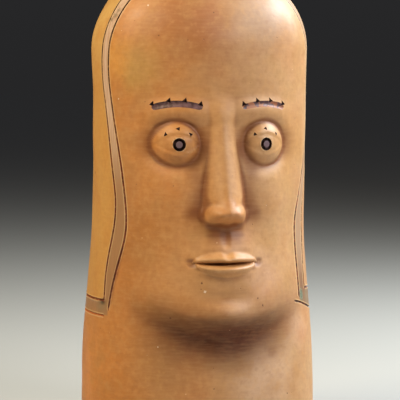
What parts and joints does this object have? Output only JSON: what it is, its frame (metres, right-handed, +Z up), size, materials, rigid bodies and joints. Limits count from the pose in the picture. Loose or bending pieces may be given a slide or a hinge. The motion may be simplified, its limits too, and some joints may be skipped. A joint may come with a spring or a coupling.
{
  "type": "terracotta bust",
  "caption": "Hand-built terracotta bust: a long dome-topped head with ring-pupil eyes and a face in smooth relief, under a hood edged by an incised slip border, cut flat below.",
  "frame": {"origin": "the middle of the bust's box, at the level of its flat foot", "axes": "+Z up from the foot to the crown; the face looks along -Y; +X is on the viewer's right"},
  "size_m": [0.2314, 0.2364, 0.472],
  "materials": {
    "terracotta": "fired orange clay, wiped smooth, semi-matt, with a paler slip border and dull purple-brown slip on the brows"
  },
  "bodies": {
    "root": {"terracotta_bust": "terracotta"}
  },
  "joints": []
}
